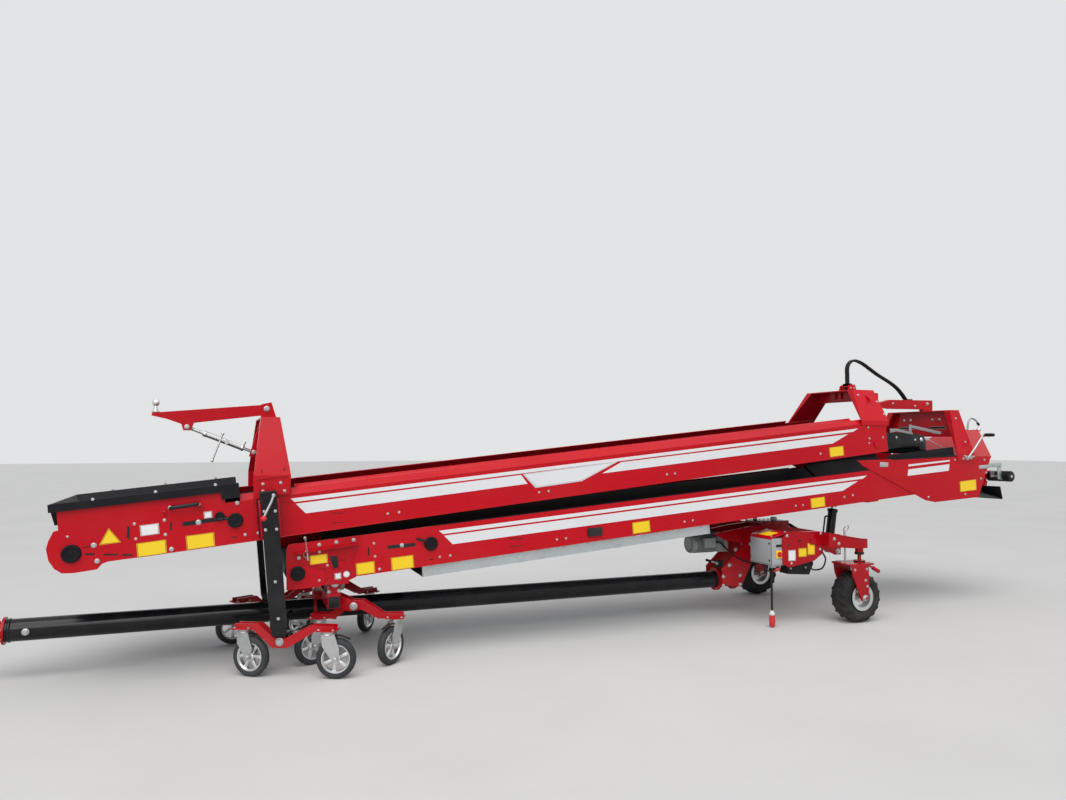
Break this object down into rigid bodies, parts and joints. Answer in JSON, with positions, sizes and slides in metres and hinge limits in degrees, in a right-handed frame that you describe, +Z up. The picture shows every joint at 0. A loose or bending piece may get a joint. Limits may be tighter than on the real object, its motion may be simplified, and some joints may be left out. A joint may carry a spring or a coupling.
{
  "type": "mobile twin belt conveyor for root crops",
  "caption": "Two red trough belt conveyors stacked for towing on a drawbar chassis with castor bogies and an air-tyred axle.",
  "frame": {"origin": "centre of the machine's outline on the ground", "axes": "+X along the machine from the drawbar eye to the lower conveyor's hopper, +Z up; the pictured side is at -Y"},
  "size_m": [8.8339, 1.5916, 2.263],
  "materials": {
    "red_paint": "gloss",
    "black_gloss": "gloss",
    "motor_grey": "satin",
    "cabinet_grey": "satin",
    "cable_black": "satin",
    "plug_red": "satin",
    "chrome_rod": "polished",
    "tyre_rubber": "matt",
    "rim_silver": "satin",
    "belt_rubber": "matt",
    "drum_steel": "satin",
    "galvanised": "satin",
    "castor_rubber": "matt"
  },
  "bodies": {
    "chassis": {"drawbar_tube": "black_gloss", "coupling_head": "red_paint", "front_crossbeam": "red_paint", "lower_rocker_near": "red_paint", "lower_rocker_far": "red_paint", "axle_frame": "red_paint", "power_pack": "motor_grey", "control_cabinet": "cabinet_grey", "supply_cable": "cable_black", "supply_plug": "plug_red"},
    "lift_barrel": {"lift_barrel": "black_gloss"},
    "lift_rod": {"lift_rod": "chrome_rod"},
    "fork_near": {"wheel_fork_near": "red_paint"},
    "fork_far": {"wheel_fork_far": "red_paint"},
    "wheel_near": {"tyre_near": "tyre_rubber", "rim_near": "rim_silver"},
    "wheel_far": {"tyre_far": "tyre_rubber", "rim_far": "rim_silver"},
    "lower_conveyor": {"lower_panels": "red_paint", "lower_belt": "belt_rubber", "lower_drums": "drum_steel", "lower_tray": "galvanised", "lower_hopper": "red_paint", "lower_skirt": "belt_rubber", "lower_portal": "red_paint", "lower_end_gear": "red_paint", "front_brackets": "red_paint", "hose_1": "cable_black", "hose_2": "cable_black"},
    "upper_conveyor": {"upper_panels": "red_paint", "upper_belt": "belt_rubber", "upper_drums": "drum_steel", "upper_skirt": "belt_rubber", "upper_front_portal": "red_paint", "upper_rear_portal": "red_paint", "leg_tubes": "black_gloss"},
    "ball_arm": {"ball_arm": "red_paint"},
    "spindle_tube": {"spindle_tube": "galvanised"},
    "spindle_rod": {"spindle_rod": "drum_steel"},
    "leg_near": {"leg_near": "black_gloss", "upper_rocker_near": "red_paint"},
    "leg_far": {"leg_far": "black_gloss", "upper_rocker_far": "red_paint"},
    "castor_swivel_1": {"castor_fork_1": "galvanised"},
    "castor_roll_1": {"castor_wheel_1": "castor_rubber"},
    "castor_swivel_2": {"castor_fork_2": "galvanised"},
    "castor_roll_2": {"castor_wheel_2": "castor_rubber"},
    "castor_swivel_3": {"castor_fork_3": "galvanised"},
    "castor_roll_3": {"castor_wheel_3": "castor_rubber"},
    "castor_swivel_4": {"castor_fork_4": "galvanised"},
    "castor_roll_4": {"castor_wheel_4": "castor_rubber"},
    "castor_swivel_5": {"castor_fork_5": "galvanised"},
    "castor_roll_5": {"castor_wheel_5": "castor_rubber"},
    "castor_swivel_6": {"castor_fork_6": "galvanised"},
    "castor_roll_6": {"castor_wheel_6": "castor_rubber"},
    "castor_swivel_7": {"castor_fork_7": "galvanised"},
    "castor_roll_7": {"castor_wheel_7": "castor_rubber"},
    "castor_swivel_8": {"castor_fork_8": "galvanised"},
    "castor_roll_8": {"castor_wheel_8": "castor_rubber"}
  },
  "joints": [
    {"name": "lower_lift", "type": "hinge", "parent": "chassis", "child": "lower_conveyor", "pos_m": [-2.078, 0, 0.542], "axis": [0, -1, 0], "range_deg": [0, 2.5]},
    {"name": "barrel_tilt", "type": "hinge", "parent": "chassis", "child": "lift_barrel", "pos_m": [2.436, 0, 0.49], "axis": [0, -1, 0], "range_deg": [-0.5, 5.53]},
    {"name": "rod_slide", "type": "slide", "parent": "lift_barrel", "child": "lift_rod", "axis": [0.1625, 0, 0.9867], "range_m": [-0.002, 0.1978]},
    {"name": "upper_tilt", "type": "hinge", "parent": "lower_conveyor", "child": "upper_conveyor", "pos_m": [2.981, 0, 1.9], "axis": [0, 1, 0], "range_deg": [0, 3.5]},
    {"name": "leg_near_slide", "type": "slide", "parent": "upper_conveyor", "child": "leg_near", "axis": [0.0934, 0, -0.9956], "range_m": [-0.002, 0.3331]},
    {"name": "leg_far_slide", "type": "slide", "parent": "upper_conveyor", "child": "leg_far", "axis": [0.0934, 0, -0.9956], "range_m": [-0.002, 0.3331]},
    {"name": "ball_arm_lift", "type": "hinge", "parent": "upper_conveyor", "child": "ball_arm", "pos_m": [-2.503, 0, 1.709], "axis": [0, 1, 0], "range_deg": [-12, 15]},
    {"name": "spindle_tilt", "type": "hinge", "parent": "upper_conveyor", "child": "spindle_tube", "pos_m": [-2.581, 0, 1.406], "axis": [0, 1, 0], "range_deg": [-11.42, 14.15]},
    {"name": "spindle_slide", "type": "slide", "parent": "spindle_tube", "child": "spindle_rod", "axis": [-0.9283, 0, 0.3718], "range_m": [-0.0663, 0.0824]},
    {"name": "steer_near", "type": "hinge", "parent": "chassis", "child": "fork_near", "pos_m": [2.171, -0.663, 0.5], "axis": [0, 0, 1], "range_deg": [-90, 90]},
    {"name": "roll_near", "type": "hinge", "parent": "fork_near", "child": "wheel_near", "pos_m": [2.121, -0.663, 0.208], "axis": [0, 1, 0], "continuous": true},
    {"name": "steer_far", "type": "hinge", "parent": "chassis", "child": "fork_far", "pos_m": [2.171, 0.663, 0.5], "axis": [0, 0, 1], "range_deg": [-90, 90]},
    {"name": "roll_far", "type": "hinge", "parent": "fork_far", "child": "wheel_far", "pos_m": [2.121, 0.663, 0.208], "axis": [0, 1, 0], "continuous": true},
    {"name": "castor_turn_1", "type": "hinge", "parent": "leg_near", "child": "castor_swivel_1", "pos_m": [-2.634, -0.452, 0.297], "axis": [0, 0, 1], "continuous": true},
    {"name": "castor_spin_1", "type": "hinge", "parent": "castor_swivel_1", "child": "castor_roll_1", "pos_m": [-2.59302, -0.48401, 0.125], "axis": [0.6157, 0.788, 0], "continuous": true},
    {"name": "castor_turn_2", "type": "hinge", "parent": "leg_near", "child": "castor_swivel_2", "pos_m": [-2.149, -0.714, 0.297], "axis": [0, 0, 1], "continuous": true},
    {"name": "castor_spin_2", "type": "hinge", "parent": "castor_swivel_2", "child": "castor_roll_2", "pos_m": [-2.10014, -0.73179, 0.125], "axis": [0.342, 0.9397, 0], "continuous": true},
    {"name": "castor_turn_3", "type": "hinge", "parent": "chassis", "child": "castor_swivel_3", "pos_m": [-2.159, -0.322, 0.297], "axis": [0, 0, 1], "continuous": true},
    {"name": "castor_spin_3", "type": "hinge", "parent": "castor_swivel_3", "child": "castor_roll_3", "pos_m": [-2.20613, -0.34398, 0.125], "axis": [0.4226, -0.9063, 0], "continuous": true},
    {"name": "castor_turn_4", "type": "hinge", "parent": "chassis", "child": "castor_swivel_4", "pos_m": [-1.679, -0.502, 0.297], "axis": [0, 0, 1], "continuous": true},
    {"name": "castor_spin_4", "type": "hinge", "parent": "castor_swivel_4", "child": "castor_roll_4", "pos_m": [-1.71764, -0.5368, 0.125], "axis": [0.6691, -0.7431, 0], "continuous": true},
    {"name": "castor_turn_5", "type": "hinge", "parent": "leg_far", "child": "castor_swivel_5", "pos_m": [-2.634, 0.452, 0.297], "axis": [0, 0, 1], "continuous": true},
    {"name": "castor_spin_5", "type": "hinge", "parent": "castor_swivel_5", "child": "castor_roll_5", "pos_m": [-2.68423, 0.43854, 0.125], "axis": [0.2588, -0.9659, 0], "continuous": true},
    {"name": "castor_turn_6", "type": "hinge", "parent": "leg_far", "child": "castor_swivel_6", "pos_m": [-2.149, 0.714, 0.297], "axis": [0, 0, 1], "continuous": true},
    {"name": "castor_spin_6", "type": "hinge", "parent": "castor_swivel_6", "child": "castor_roll_6", "pos_m": [-2.19786, 0.73179, 0.125], "axis": [-0.342, -0.9397, 0], "continuous": true},
    {"name": "castor_turn_7", "type": "hinge", "parent": "chassis", "child": "castor_swivel_7", "pos_m": [-2.159, 0.322, 0.297], "axis": [0, 0, 1], "continuous": true},
    {"name": "castor_spin_7", "type": "hinge", "parent": "castor_swivel_7", "child": "castor_roll_7", "pos_m": [-2.20613, 0.34398, 0.125], "axis": [-0.4226, -0.9063, 0], "continuous": true},
    {"name": "castor_turn_8", "type": "hinge", "parent": "chassis", "child": "castor_swivel_8", "pos_m": [-1.679, 0.502, 0.297], "axis": [0, 0, 1], "continuous": true},
    {"name": "castor_spin_8", "type": "hinge", "parent": "castor_swivel_8", "child": "castor_roll_8", "pos_m": [-1.70883, 0.4594, 0.125], "axis": [0.8192, -0.5736, 0], "continuous": true}
  ],
  "couplings": [
    {"joint": "barrel_tilt", "follows": "lower_lift", "ratio": 2.0109},
    {"joint": "rod_slide", "follows": "lower_lift", "m_per_rad": 4.4878},
    {"joint": "leg_near_slide", "follows": "upper_tilt", "m_per_rad": 5.4197},
    {"joint": "leg_far_slide", "follows": "upper_tilt", "m_per_rad": 5.4197},
    {"joint": "spindle_tilt", "follows": "ball_arm_lift", "ratio": 0.9098},
    {"joint": "spindle_slide", "follows": "ball_arm_lift", "m_per_rad": 0.3071}
  ]
}
